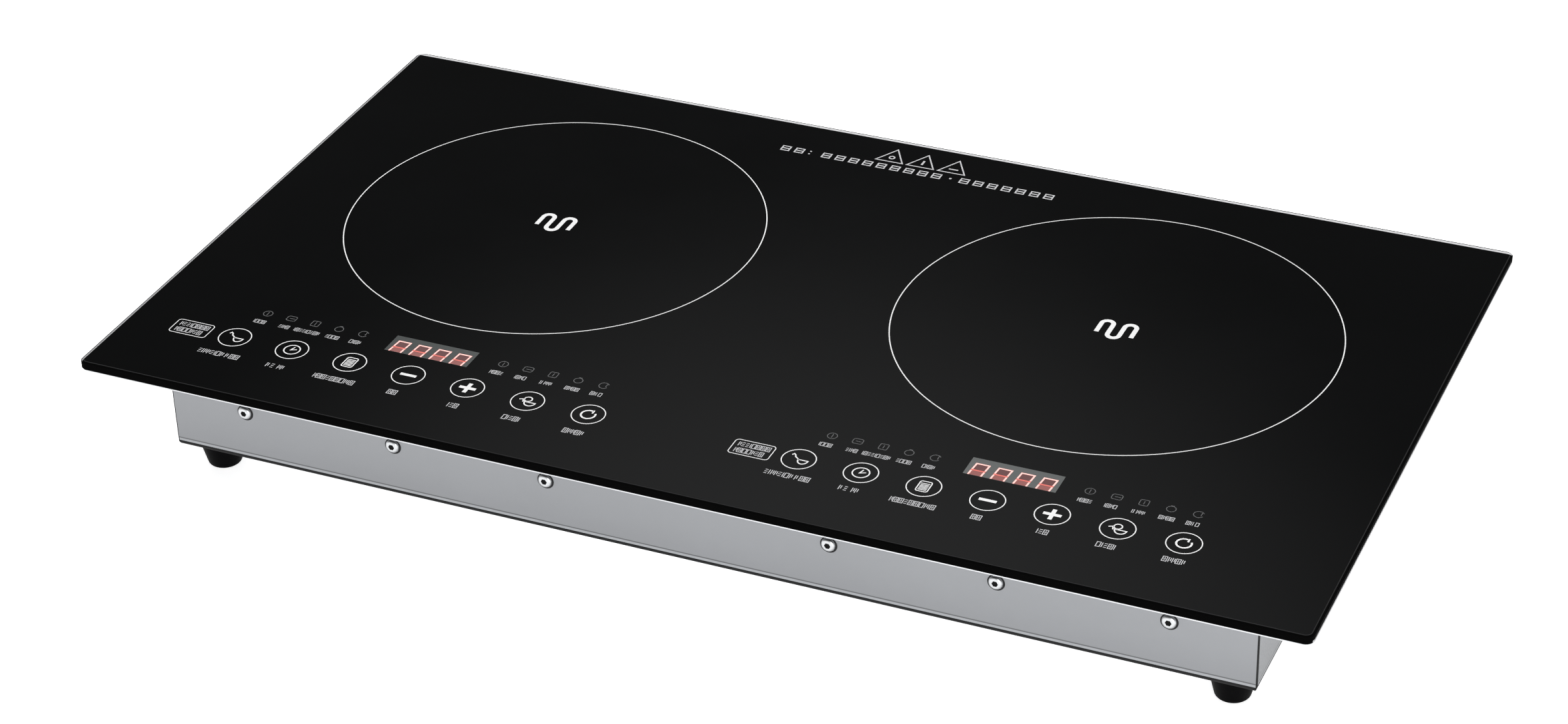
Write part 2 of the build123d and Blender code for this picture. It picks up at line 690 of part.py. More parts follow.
def make_board_parts():
    with BuildPart() as capacitors:
        for y in (-46, -22, 2):
            with Locations((120, y, BOARD_TOP)):
                Box(28, 18, 22, align=SITS_ON)
        fillet(capacitors.edges().filter_by(Axis.Z), radius=1.5)
    save_both_sides(capacitors, "film_capacitors")

    core_y = 34.0
    with BuildPart() as choke:
        with Locations((122, core_y, BOARD_TOP)):
            Cylinder(16, 12, align=SITS_ON)
            Cylinder(8, 12, align=SITS_ON, mode=Mode.SUBTRACT)
        with Locations((122, core_y, BOARD_TOP + 6)):
            with PolarLocations(12, 14):
                Box(10.4, 1.8, 14, mode=Mode.ADD)
        with Locations((122, core_y, BOARD_TOP)):
            Box(40, 40, 4, align=HANGS_FROM, mode=Mode.SUBTRACT)
    save_both_sides(choke, "filter_choke")


# ---------------------------------------------------------------- fans


def make_fan_frame():
    half = FAN_SCREW_PITCH / 2
    with BuildPart() as frame:
        with BuildSketch(Plane.XY.offset(FLOOR)):
            RectangleRounded(FAN_SIZE, FAN_SIZE, 5)
            Circle(DUCT_RADIUS, mode=Mode.SUBTRACT)
        extrude(amount=FAN_TOP - FLOOR)
        with BuildSketch(Plane.XY.offset(FLOOR)):
            Circle(CUP_RADIUS)
            with PolarLocations(31.75, 4, start_angle=45):
                Rectangle(25, 4)
        extrude(amount=FAN_SPIDER_TOP - FLOOR)
        with Locations(*corners(0, 0, half, half, FLOOR)):
            Cylinder(M4_RADIUS + HOLE_CLEARANCE, 70, mode=Mode.SUBTRACT)
    save_fan_piece(frame, "fan_frame")


def make_fan_motor():
    with BuildPart() as stator:
        with Locations((0, 0, FAN_SPIDER_TOP)):
            Cylinder(6, 3, align=SITS_ON)
            Cylinder(4, CUP_TOP - 5 - FAN_SPIDER_TOP, align=SITS_ON)
        with BuildSketch(Plane.XY.offset(FLOOR + 9)):
            Circle(7)
            with PolarLocations(10, 8):
                Rectangle(8, 3)
            with PolarLocations(13.5, 8):
                Rectangle(3, 8)
        extrude(amount=8)
        with Locations((0, 0, FLOOR + 13)):
            with PolarLocations(9.6, 8):
                Box(4.2, 5.6, 10.5)
        with Locations((0, 0, SHAFT_BOTTOM - 0.1)):
            Cylinder(SHAFT_RADIUS + HOLE_CLEARANCE, 40, align=SITS_ON, mode=Mode.SUBTRACT)
    save_fan_piece(stator, "fan_stator")

    with BuildPart() as shaft:
        with Locations((0, 0, SHAFT_BOTTOM)):
            Cylinder(SHAFT_RADIUS, CUP_TOP - SHAFT_BOTTOM, align=SITS_ON)
        fillet(shaft.faces().sort_by(Axis.Z)[0].edges(), radius=0.5)
    save_fan_piece(shaft, "fan_shaft")


def make_blade():
    """One blade along +X, steeper at the root than at the tip."""
    middle = (CUP_BOTTOM + CUP_TOP) / 2
    with BuildPart() as blade:
        for x, chord, pitch in ((CUP_RADIUS - 1.5, 19, 52), (DUCT_RADIUS + 1, 30, 30)):
            section = Plane((x, 0, middle), x_dir=(0, 1, 0), z_dir=(1, 0, 0))
            with BuildSketch(section.rotated((0, 0, pitch))):
                SlotOverall(chord, 1.5)
        loft()
    return blade.part


def make_fan_rotor():
    blade = make_blade()
    with BuildPart() as blades:
        with PolarLocations(0, BLADES):
            add(blade)
        with Locations((0, 0, FLOOR)):
            Cylinder(BLADE_TIP_RADIUS, 30, align=SITS_ON, mode=Mode.INTERSECT)
    with BuildPart() as rotor:
        with Locations((0, 0, CUP_BOTTOM)):
            Cylinder(CUP_RADIUS, CUP_TOP - CUP_BOTTOM, align=SITS_ON)
        fillet(rotor.faces().sort_by(Axis.Z)[-1].edges(), radius=1.5)
        add(blades.part)
        with Locations((0, 0, CUP_BOTTOM)):
            Cylinder(CUP_RADIUS - 3, CUP_TOP - 2.5 - CUP_BOTTOM, align=SITS_ON, mode=Mode.SUBTRACT)
        with Locations((0, 0, CUP_TOP - 4.5)):
            Cylinder(3.5, 3, align=SITS_ON)
        with Locations((0, 0, CUP_BOTTOM)):
            Cylinder(SHAFT_RADIUS, 40, align=SITS_ON, mode=Mode.SUBTRACT)
    save_fan_piece(rotor, "fan_rotor")


# ---------------------------------------------------------------- controls


def make_carrier():
    leg_places = corners(0, CONTROL_Y, 108, 18, FLOOR)
    with BuildPart() as carrier:
        with Locations((0, CONTROL_Y, CARRIER_BOTTOM)):
            Box(
                CONTROL_WIDTH + 2 * CARRIER_WALL,
                CONTROL_DEPTH + 2 * CARRIER_WALL,
                CARRIER_TOP - CARRIER_BOTTOM,
                align=SITS_ON,
            )
        with Locations((0, CONTROL_Y, CARRIER_BOTTOM + CARRIER_WALL)):
            Box(CONTROL_WIDTH, CONTROL_DEPTH, 20, align=SITS_ON, mode=Mode.SUBTRACT)
        with Locations(*corners(0, CONTROL_Y, 119, 23, CARRIER_BOTTOM + CARRIER_WALL)):
            Cylinder(3, CONTROL_UNDERSIDE - CARRIER_BOTTOM - CARRIER_WALL, align=SITS_ON)
        with Locations(*leg_places):
            Cylinder(4, CARRIER_BOTTOM - FLOOR, align=SITS_ON)
            Cylinder(8, 2, align=SITS_ON)
        # Way out at the back for the ribbon cable of either side.
        with Locations((0, CONTROL_Y + CONTROL_DEPTH / 2 + CARRIER_WALL / 2, CONTROL_TOP)):
            Box(110, CARRIER_WALL, 20, align=SITS_ON, mode=Mode.SUBTRACT)
    save_control_piece(carrier, "control_carrier")


def make_control_board():
    with BuildPart() as board:
        with Locations((0, CONTROL_Y, CONTROL_UNDERSIDE)):
            Box(CONTROL_WIDTH, CONTROL_DEPTH, BOARD_THICKNESS, align=SITS_ON)
        with Locations((0, -134, CONTROL_TOP)):
            Box(12, 8, 1.4, align=SITS_ON)
        for x in (RIBBON_X - CONTROL_CENTRES["right"], -RIBBON_X - CONTROL_CENTRES["left"]):
            with Locations((x, RIBBON_START_Y - 2.5, CONTROL_TOP)):
                Box(RIBBON_WIDTH + 4, 5, 3, align=SITS_ON)
    save_control_piece(board, "control_board")


def make_display():
    top = CONTROL_TOP + DISPLAY_HEIGHT
    with BuildPart() as display:
        with Locations((0.5, DISPLAY_ROW_Y - 1, CONTROL_TOP)):
            Box(DISPLAY_WIDTH, DISPLAY_DEPTH, DISPLAY_HEIGHT, align=SITS_ON)
        with BuildSketch(Plane((0.5, DISPLAY_ROW_Y - 1, top))):
            with GridLocations(DIGIT_PITCH, 1, 4, 1):
                with GridLocations(1, 7, 1, 3):
                    SlotOverall(6, 1.4)
                with GridLocations(7.4, 7, 2, 2):
                    SlotOverall(6, 1.4, rotation=90)
        extrude(amount=-0.6, mode=Mode.SUBTRACT)
    save_control_piece(display, "led_display")


def make_touch_parts():
    one = spring(5.0, 0.4, 4, GLASS_UNDERSIDE - CONTROL_TOP)
    with BuildPart() as springs:
        with Locations((0, KEY_ROW_Y, CONTROL_TOP)):
            with GridLocations(KEY_PITCH, 1, KEYS, 1):
                add(one)
    save_control_piece(springs, "touch_springs")

    with BuildPart() as lamps:
        with Locations(*indicator_places(CONTROL_TOP)):
            Cylinder(1.9, 1, align=SITS_ON)
            Cylinder(1.5, 5, align=SITS_ON)
        fillet(lamps.edges().group_by(Axis.Z)[-1], radius=1.2)
    save_control_piece(lamps, "indicator_leds")


def make_ribbons():
    """Flat cables from the control boards down to the power boards."""
    level = CONTROL_TOP + 0.5
    end_level = BOARD_TOP + 4
    with BuildPart() as ribbons:
        for x in (-RIBBON_X, RIBBON_X):
            with BuildSketch(Plane((x - RIBBON_WIDTH / 2, 0, 0), x_dir=(0, 1, 0), z_dir=(1, 0, 0))):
                with BuildLine() as path:
                    FilletPolyline(
                        (RIBBON_START_Y, level), (-90, level), (-90, end_level), (-69, end_level), radius=5
                    )
                trace(path.line, line_width=0.9)
            extrude(amount=RIBBON_WIDTH)
    save(ribbons, "ribbon_cables")


def make_enclosure():
    make_glass()
    make_adhesive()
    make_frame()
    make_tray()
    make_screws()
    make_feet()
    make_cord_entry()
    make_terminals()


def make_zones():
    make_winding()
    make_former()
    make_zone_trim()
    make_posts()


def make_electronics():
    make_power_board()
    make_heat_sink()
    make_board_parts()
    make_fan_frame()
    make_fan_motor()
    make_fan_rotor()
    make_carrier()
    make_control_board()
    make_display()
    make_touch_parts()
    make_ribbons()


make_enclosure()
make_zones()
make_electronics()
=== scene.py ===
import json
import random
from math import cos, hypot, pi, radians, sin

import bmesh
import bpy
from mathutils import Matrix, Vector


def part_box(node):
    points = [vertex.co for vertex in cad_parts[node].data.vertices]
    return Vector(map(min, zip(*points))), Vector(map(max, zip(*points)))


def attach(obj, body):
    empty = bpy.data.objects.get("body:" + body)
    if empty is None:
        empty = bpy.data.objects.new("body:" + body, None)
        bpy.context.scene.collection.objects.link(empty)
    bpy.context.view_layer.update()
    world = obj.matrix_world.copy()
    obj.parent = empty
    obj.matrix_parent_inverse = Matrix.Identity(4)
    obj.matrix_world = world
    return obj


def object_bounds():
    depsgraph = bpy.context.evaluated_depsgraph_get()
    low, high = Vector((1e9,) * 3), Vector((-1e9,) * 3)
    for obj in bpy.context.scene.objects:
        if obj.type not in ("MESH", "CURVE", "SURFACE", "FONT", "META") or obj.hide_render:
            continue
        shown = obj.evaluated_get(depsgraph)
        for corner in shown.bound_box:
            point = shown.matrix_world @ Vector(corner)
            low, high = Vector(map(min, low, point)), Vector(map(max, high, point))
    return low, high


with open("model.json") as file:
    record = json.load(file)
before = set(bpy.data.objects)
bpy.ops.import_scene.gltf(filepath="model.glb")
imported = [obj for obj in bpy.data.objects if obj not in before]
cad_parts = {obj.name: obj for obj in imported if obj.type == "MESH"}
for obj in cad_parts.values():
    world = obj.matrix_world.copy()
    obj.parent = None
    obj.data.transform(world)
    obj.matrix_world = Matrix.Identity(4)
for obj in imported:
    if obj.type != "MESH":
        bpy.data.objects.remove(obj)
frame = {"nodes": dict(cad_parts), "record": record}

CAD_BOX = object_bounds()
MM = 0.001


# ---------------------------------------------------------------- where things are


def middle(node):
    low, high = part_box(node)
    return (Vector(low) + Vector(high)) / 2


SIDES = ("left", "right")
GLASS_LOW, GLASS_HIGH = (Vector(corner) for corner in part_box("glass_top"))
GLASS_TOP = GLASS_HIGH.z
ZONE = {side: middle(f"mica_disc_{side}") for side in SIDES}
KEYS_AT = {side: middle(f"touch_springs_{side}") for side in SIDES}
DISPLAY_AT = {side: middle(f"led_display_{side}") for side in SIDES}
CASE_LOW, CASE_HIGH = (Vector(corner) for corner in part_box("base_tray"))

# The print of each side, in millimetres. Shifts are from the node that lies below the print.
KEY_PITCH = {"left": 36.75, "right": 35.5}
KEY_SHIFT = {"left": (-0.4, -0.6), "right": (-1.4, 0.3)}
LABEL_DROP = {"left": 18.5, "right": 16.5}
DISPLAY_SHIFT = {"left": (-0.6, -1.3), "right": (2.5, 0.0)}
LAMP_PITCH = {"left": 15.4, "right": 14.75}
LAMP_GROUPS = {"left": (-75.9, 73.8), "right": (-71.1, 74.1)}
LAMP_SHIFT = {"left": 0.0, "right": -1.0}
RING_SHIFT = {"left": (-1.4, -2.4), "right": (-2.2, 1.7)}
RING_RADIUS = {"left": 124.2, "right": 126.0}

# Measures that the case and the glass share with the CAD part.
BEVEL_DROP = 0.5 * MM
BEND_RADIUS = 3.0 * MM
SCREW_RISE = 32.9 * MM
SCREW_X = (83.3 * MM, 177.3 * MM, 271.3 * MM)
SCREW_Y = 90.0 * MM


def linked_object(name, data):
    made = bpy.data.objects.new(name, data)
    bpy.context.collection.objects.link(made)
    return made


def mesh_object(name, mesh, material):
    """A new object of one material from a bmesh, which is freed."""
    data = bpy.data.meshes.new(name)
    mesh.to_mesh(data)
    mesh.free()
    data.materials.append(material)
    return linked_object(name, data)


# ---------------------------------------------------------------- camera


def make_camera():
    """A long lens, a little to the right of the cooktop and above it."""
    azimuth, elevation, roll = radians(24.5), radians(31.96), radians(-1.8)
    distance = 2.0303
    aim = Vector((0.0121, -0.0592, GLASS_TOP))
    forward = Vector((-sin(azimuth) * cos(elevation), cos(azimuth) * cos(elevation), -sin(elevation)))
    level = forward.cross(Vector((0, 0, 1))).normalized()
    upright = level.cross(forward)
    right = level * cos(roll) + upright * sin(roll)
    data = bpy.data.cameras.new("camera")
    data.lens = 84.75
    data.sensor_width = 36.0
    data.clip_start, data.clip_end = 0.05, 60.0
    camera = linked_object("camera", data)
    camera.location = aim - forward * distance
    camera.rotation_euler = Matrix((right, right.cross(forward), -forward)).transposed().to_euler()
    bpy.context.scene.camera = camera


make_camera()


# ---------------------------------------------------------------- materials


WHITE = (1.0, 1.0, 1.0, 1.0)
BLACK = (0.0, 0.0, 0.0, 1.0)
# Noise seldom leaves this range.
NOISE_LOW, NOISE_HIGH = 0.25, 0.75


def feed(tree, socket, value):
    """Links the value to the socket when it is an output, else sets it on the socket."""
    if isinstance(value, bpy.types.NodeSocket):
        tree.links.new(value, socket)
    else:
        socket.default_value = value


def add_node(tree, kind, inputs=(), **settings):
    node = tree.nodes.new(kind)
    for key, value in settings.items():
        setattr(node, key, value)
    for key, value in dict(inputs).items():
        feed(tree, node.inputs[key], value)
    return node


class Finish:
    """A procedural material on the Principled shader, laid out in object space (metres)."""

    def __init__(self, name):
        self.material = bpy.data.materials.new(name)
        self.material.use_nodes = True
        self.tree = self.material.node_tree
        self.shader = self.tree.nodes["Principled BSDF"]
        self.place = self.add("ShaderNodeTexCoord").outputs["Object"]

    def add(self, kind, inputs=(), **settings):
        return add_node(self.tree, kind, inputs, **settings)

    def noise(self, scale, detail=3.0, rough=0.55, stretch=None):
        where = self.place
        if stretch:
            where = self.add("ShaderNodeMapping", {"Vector": where, "Scale": stretch}).outputs[0]
        inputs = {"Vector": where, "Scale": scale, "Detail": detail, "Roughness": rough}
        return self.add("ShaderNodeTexNoise", inputs).outputs["Fac"]

    def between(self, amount, low, high):
        """A noise, carried over to the range from low to high."""
        inputs = {
            "Value": amount,
            "From Min": NOISE_LOW,
            "From Max": NOISE_HIGH,
            "To Min": low,
            "To Max": high,
        }
        return self.add("ShaderNodeMapRange", inputs).outputs[0]

    def mix(self, amount, first, second):
        """The first colour where amount is 0, the second where it is 1."""
        inputs = {0: amount, 6: first, 7: second}
        return self.add("ShaderNodeMix", inputs, data_type="RGBA").outputs[2]

    def math(self, operation, *values):
        return self.add("ShaderNodeMath", dict(enumerate(values)), operation=operation).outputs[0]

    def axis(self, name, size=False):
        """The X, Y or Z of the place on the surface, or its size without the sign."""
        value = self.add("ShaderNodeSeparateXYZ", {0: self.place}).outputs[name]
        return self.math("ABSOLUTE", value) if size else value

    def band(self, value, low, high):
        """1 where the value lies between low and high, else 0."""
        return self.math("COMPARE", value, (low + high) / 2, (high - low) / 2)

    def set(self, key, value):
        feed(self.tree, self.shader.inputs[key], value)

    def bump(self, height, strength, distance):
        inputs = {"Height": height, "Strength": strength, "Distance": distance}
        self.set("Normal", self.add("ShaderNodeBump", inputs).outputs[0])


def shade(colour, factor):
    """The colour made darker or lighter, with an alpha of 1."""
    return (*(min(1.0, channel * factor) for channel in colour), 1.0)


def moulded(
    name,
    colour,
    roughness,
    scale=900.0,
    spread=0.08,
    relief=0.05,
    coat=0.0,
    gloss=0.5,
    ior=1.5,
):
    """Moulded, cast or sintered surface: fine grain, faint cloudiness and uneven gloss."""
    finish = Finish(name)
    grain = finish.noise(scale, 4.0)
    cloud = finish.noise(scale / 25, 2.0)
    base = finish.mix(cloud, shade(colour, 1 - spread), shade(colour, 1 + spread))
    pitted = finish.between(grain, 0.0, 0.35)
    finish.set("Base Color", finish.mix(pitted, base, shade(colour, 1 - 2 * spread)))
    finish.set("Roughness", finish.between(grain, roughness * 0.85, min(1.0, roughness * 1.15)))
    finish.set("Coat Weight", coat)
    finish.set("Specular IOR Level", gloss)
    finish.set("IOR", ior)
    finish.bump(grain, relief, 0.0002)
    return finish.material


def drawn_metal(name, colour, roughness, stretch):
    """Metal with fine lines along one direction, as left by rolling, drawing or extruding."""
    finish = Finish(name)
    lines = finish.noise(260.0, 5.0, 0.7, stretch)
    cloud = finish.noise(22.0, 2.0)
    base = finish.mix(lines, shade(colour, 0.88), shade(colour, 1.08))
    finish.set("Base Color", finish.mix(finish.between(cloud, 0.0, 0.25), base, shade(colour, 0.82)))
    finish.set("Roughness", finish.between(lines, roughness * 0.8, roughness * 1.25))
    finish.set("Metallic", 1.0)
    finish.bump(lines, 0.08, 0.0001)
    return finish.material


def black_glass():
    """Polished black glass ceramic with a wiped haze and a dull black edge, and painted highlights along its
    borders: a faint one on the upper bevel all round, pale lines in from the back and left edges, and one low
    along the right side.
    """
    bevel_low = GLASS_TOP - 0.8 * BEVEL_DROP
    edge_top = GLASS_TOP - 0.3 * BEVEL_DROP
    bevel_highlight_top = GLASS_TOP - 0.04 * BEVEL_DROP
    back_inset = (1.4 * MM, 3.4 * MM)
    left_inset = (0.7 * MM, 2.1 * MM)
    right_highlight_rise, right_highlight_inset = 1.8 * MM, 0.6 * MM
    edge_roughness = 0.9

    finish = Finish("glass_plate")
    haze = finish.noise(7.0, 4.0, 0.6)
    height = finish.axis("Z")
    from_back = finish.math("SUBTRACT", GLASS_HIGH.y, finish.axis("Y"))
    from_left = finish.math("SUBTRACT", finish.axis("X"), GLASS_LOW.x)
    from_right = finish.math("SUBTRACT", GLASS_HIGH.x, finish.axis("X"))
    above = finish.math("GREATER_THAN", height, bevel_low)
    edge = finish.math("LESS_THAN", height, edge_top)
    # Masks of the painted highlights along the borders of the glass.
    bevel_painted_highlight = finish.band(height, edge_top, bevel_highlight_top)
    back_painted_highlight = finish.math("MULTIPLY", above, finish.band(from_back, *back_inset))
    left_painted_highlight = finish.math("MULTIPLY", above, finish.band(from_left, *left_inset))
    low = finish.math("LESS_THAN", height, GLASS_LOW.z + right_highlight_rise)
    right_painted_highlight = finish.math("MULTIPLY", low, finish.math("LESS_THAN", from_right, right_highlight_inset))
    colour = finish.mix(haze, (0.0022, 0.0023, 0.0023, 1), (0.0031, 0.0032, 0.0034, 1))
    # Painted highlights: faint on the bevel all round, brighter in from the back and left edges and low on
    # the right side.
    for where, level in (
        (edge, 0.0004),
        (bevel_painted_highlight, 0.020),
        (left_painted_highlight, 0.22),
        (back_painted_highlight, 0.48),
        (right_painted_highlight, 0.36),
    ):
        colour = finish.mix(where, colour, (level, level, 1.02 * level, 1))
    finish.set("Base Color", colour)
    dull = finish.math("MULTIPLY", edge, edge_roughness)
    finish.set("Roughness", finish.math("MAXIMUM", finish.between(haze, 0.055, 0.085), dull))
    finish.set("IOR", 1.1)
    ripple = finish.noise(3.0, 1.0)
    finish.bump(ripple, 0.02, 0.0004)
    return finish.material


def case_sheet():
    """Satin grey coated sheet steel: orange peel, painted shade on the side walls and at the corners at the
    ends, and along the bottom of each wall painted shade on the lip, a painted highlight and a painted shaded
    fold, going up."""
    colour = (0.228, 0.235, 0.247)
    bend_top = CASE_LOW.z + BEND_RADIUS
    lip_low, lip_high = CASE_LOW.z + 0.1 * MM, bend_top + 0.5 * MM
    highlight_high = bend_top + 2.0 * MM
    fold_high = bend_top + 2.8 * MM
    wall_depth, end_depth = 2.4 * MM, 0.5 * MM
    highlight_level, fold_shade, painted_shade_level = 1.35, 0.45, 0.04
    end_painted_shade = 0.16

    finish = Finish("case_steel")
    peel = finish.noise(650.0, 2.0)
    cloud = finish.noise(9.0, 3.0)
    base = finish.mix(cloud, shade(colour, 0.94), shade(colour, 1.05))
    height = finish.axis("Z")
    near_y = finish.math("GREATER_THAN", finish.axis("Y", True), CASE_HIGH.y - wall_depth)
    near_x = finish.math("GREATER_THAN", finish.axis("X", True), CASE_HIGH.x - wall_depth)
    wall = finish.math("MAXIMUM", near_x, near_y)
    # Along the bottom of each wall: a painted highlight on the bend, painted shade on the fold above it and
    # on the lip below it.
    bend_painted_highlight = finish.band(height, lip_high, highlight_high)
    fold_painted_shade = finish.band(height, highlight_high, fold_high)
    lip_painted_shade = finish.band(height, lip_low, lip_high)
    base = finish.mix(finish.math("MULTIPLY", bend_painted_highlight, wall), base, shade(colour, highlight_level))
    base = finish.mix(finish.math("MULTIPLY", fold_painted_shade, wall), base, shade(colour, fold_shade))
    # Painted shade: the side walls made darker, and the bottom lip and the corners at the ends near black.
    at_end = finish.math("GREATER_THAN", finish.axis("X", True), CASE_HIGH.x - end_depth)
    base = finish.mix(at_end, base, finish.mix(end_painted_shade, base, BLACK))
    corner = finish.math("MULTIPLY", at_end, near_y)
    painted_shade = finish.math("MAXIMUM", finish.math("MULTIPLY", lip_painted_shade, wall), corner)
    finish.set("Base Color", finish.mix(painted_shade, base, shade(colour, painted_shade_level)))
    finish.set("Roughness", finish.math("MAXIMUM", finish.between(peel, 0.34, 0.44), painted_shade))
    finish.set("Metallic", 0.2)
    finish.bump(peel, 0.12, 0.00015)
    return finish.material


def zinc_sheet():
    """Galvanised sheet, with the pale spangle of the zinc."""
    finish = Finish("frame_steel")
    spangle = finish.add("ShaderNodeTexVoronoi", {"Vector": finish.place, "Scale": 160.0}).outputs["Distance"]
    finish.set("Base Color", finish.mix(spangle, (0.50, 0.51, 0.53, 1), (0.66, 0.67, 0.69, 1)))
    finish.set("Roughness", finish.between(spangle, 0.28, 0.5))
    finish.set("Metallic", 0.9)
    return finish.material


def stranded(name, colour, pitch):
    """Wire wound or twisted from many strands: diagonal bands of light and dark."""
    finish = Finish(name)
    inputs = {"Vector": finish.place, "Scale": 1.0 / pitch, "Distortion": 1.5, "Detail": 2.0}
    bands = finish.add("ShaderNodeTexWave", inputs, bands_direction="DIAGONAL").outputs["Fac"]
    finish.set("Base Color", finish.mix(bands, shade(colour, 0.55), shade(colour, 1.15)))
    roughness = 0.35
    finish.set("Roughness", finish.between(bands, roughness * 1.3, roughness * 0.8))
    finish.set("Metallic", 0.85)
    finish.bump(bands, 0.4, 0.0002)
    return finish.material


def solder_mask():
    """Green circuit board, the tracks showing as paler lines under the mask."""
    finish = Finish("circuit_board")
    inputs = {
        "Vector": finish.place,
        "Scale": 60.0,
        "Mortar Size": 0.03,
        "Color1": (0.010, 0.085, 0.035, 1),
        "Color2": (0.016, 0.115, 0.045, 1),
        "Mortar": (0.045, 0.21, 0.09, 1),
    }
    brick = finish.add("ShaderNodeTexBrick", inputs)
    finish.set("Base Color", brick.outputs["Color"])
    finish.set("Roughness", finish.between(finish.noise(400.0), 0.28, 0.4))
    finish.bump(brick.outputs["Fac"], 0.3, 0.0001)
    return finish.material


def pressed_mica():
    """Pale mica board: overlapping flakes."""
    finish = Finish("mica")
    flakes = finish.add("ShaderNodeTexVoronoi", {"Vector": finish.place, "Scale": 220.0}).outputs["Color"]
    grey = finish.add("ShaderNodeRGBToBW", {"Color": flakes}).outputs[0]
    finish.set("Base Color", finish.mix(grey, (0.52, 0.46, 0.35, 1), (0.70, 0.64, 0.52, 1)))
    finish.set("Roughness", finish.between(grey, 0.35, 0.6))
    return finish.material


def striped(name, first, second, pitch):
    """Flat cable: side-by-side conductors with grooves between them."""
    finish = Finish(name)
    inputs = {"Vector": finish.place, "Scale": 1.0 / pitch}
    bands = finish.add("ShaderNodeTexWave", inputs, bands_direction="X").outputs["Fac"]
    finish.set("Base Color", finish.mix(bands, shade(first, 1.0), shade(second, 1.0)))
    finish.set("Roughness", finish.between(finish.noise(500.0), 0.4, 0.55))
    finish.bump(bands, 0.5, 0.0003)
    return finish.material


def make_finishes():
    """One finish for each material slot of the record."""
    return {
        "glass_plate": black_glass(),
        "case_steel": case_sheet(),
        "frame_steel": zinc_sheet(),
        "silicone": moulded("silicone", (0.03, 0.03, 0.03), 0.6),
        "screw_steel": drawn_metal("screw_steel", (0.50, 0.51, 0.52), 0.3, (1, 1, 3)),
        "foot_rubber": moulded(
            "foot_rubber",
            (0.0008, 0.0008, 0.0010),
            0.5,
            scale=700.0,
            spread=0.15,
            relief=0.12,
            gloss=0.3,
            ior=1.12,
        ),
        "gland_plastic": moulded("gland_plastic", (0.02, 0.02, 0.021), 0.45),
        "terminal_plastic": moulded("terminal_plastic", (0.75, 0.74, 0.68), 0.45),
        "wire_insulation": moulded("wire_insulation", (0.26, 0.10, 0.04), 0.38),
        "ribbon_insulation": striped("ribbon_insulation", (0.48, 0.48, 0.50), (0.30, 0.30, 0.32), 0.004),
        "former_plastic": moulded("former_plastic", (0.035, 0.034, 0.033), 0.5, spread=0.2),
        "copper_litz": stranded("copper_litz", (0.72, 0.31, 0.12), 0.004),
        "ferrite": moulded("ferrite", (0.045, 0.045, 0.050), 0.55, scale=1500.0, spread=0.2),
        "mica": pressed_mica(),
        "sensor_white": moulded("sensor_white", (0.78, 0.78, 0.76), 0.5),
        "spring_steel": drawn_metal("spring_steel", (0.62, 0.63, 0.65), 0.25, (1, 1, 6)),
        "circuit_board": solder_mask(),
        "heat_sink_aluminium": drawn_metal("heat_sink_aluminium", (0.78, 0.79, 0.80), 0.32, (30, 1, 30)),
        "device_black": moulded("device_black", (0.016, 0.016, 0.017), 0.4, scale=2200.0),
        "capacitor_plastic": moulded("capacitor_plastic", (0.55, 0.33, 0.045), 0.3, coat=0.3),
        "choke_winding": stranded("choke_winding", (0.68, 0.29, 0.10), 0.003),
        "fan_plastic": moulded("fan_plastic", (0.018, 0.018, 0.020), 0.42, scale=1200.0),
        "stator_winding": stranded("stator_winding", (0.66, 0.30, 0.12), 0.0015),
        "shaft_steel": drawn_metal("shaft_steel", (0.70, 0.71, 0.73), 0.18, (1, 1, 20)),
        "carrier_plastic": moulded("carrier_plastic", (0.62, 0.62, 0.60), 0.5),
        "display_plastic": moulded("display_plastic", (0.02, 0.02, 0.022), 0.4),
        "led_lens": moulded("led_lens", (0.55, 0.05, 0.04), 0.2, scale=1800.0, coat=0.5),
    }


FINISHES = make_finishes()


def dress_nodes():
    for part in frame["record"]["subparts"]:
        for slot in frame["nodes"][part["node"]].material_slots:
            slot.material = FINISHES[part["material_slot"]]


dress_nodes()


def ink(name, colour, roughness=0.35, glow=0.0):
    """Enamel printed on the glass: even, with slight thin places."""
    finish = Finish(name)
    speck = finish.noise(2600.0, 2.0)
    thin = finish.noise(60.0, 2.0)
    base = finish.mix(finish.between(speck, 0.0, 0.5), shade(colour, 1.0), shade(colour, 0.86))
    base = finish.mix(finish.between(thin, 0.0, 0.25), base, shade(colour, 0.8))
    finish.set("Base Color", base)
    finish.set("Roughness", finish.between(speck, roughness, roughness * 1.3))
    if glow:
        finish.set("Emission Color", base)
        finish.set("Emission Strength", glow)
    return finish.material


# ---------------------------------------------------------------- flat drawing, in millimetres


def ring(x, y, radius, width, start=0.0, stop=360.0, steps=64):
    """Quads of a ring or of part of one."""
    whole = stop - start >= 360.0
    angles = [radians(start + (stop - start) * i / steps) for i in range(steps + 1)]
    inner, outer = radius - width / 2, radius + width / 2
    if whole:
        angles[-1] = angles[0]
    return [
        [
            (x + inner * cos(a), y + inner * sin(a)),
            (x + outer * cos(a), y + outer * sin(a)),
            (x + outer * cos(b), y + outer * sin(b)),
            (x + inner * cos(b), y + inner * sin(b)),
        ]
        for a, b in zip(angles, angles[1:])
    ]


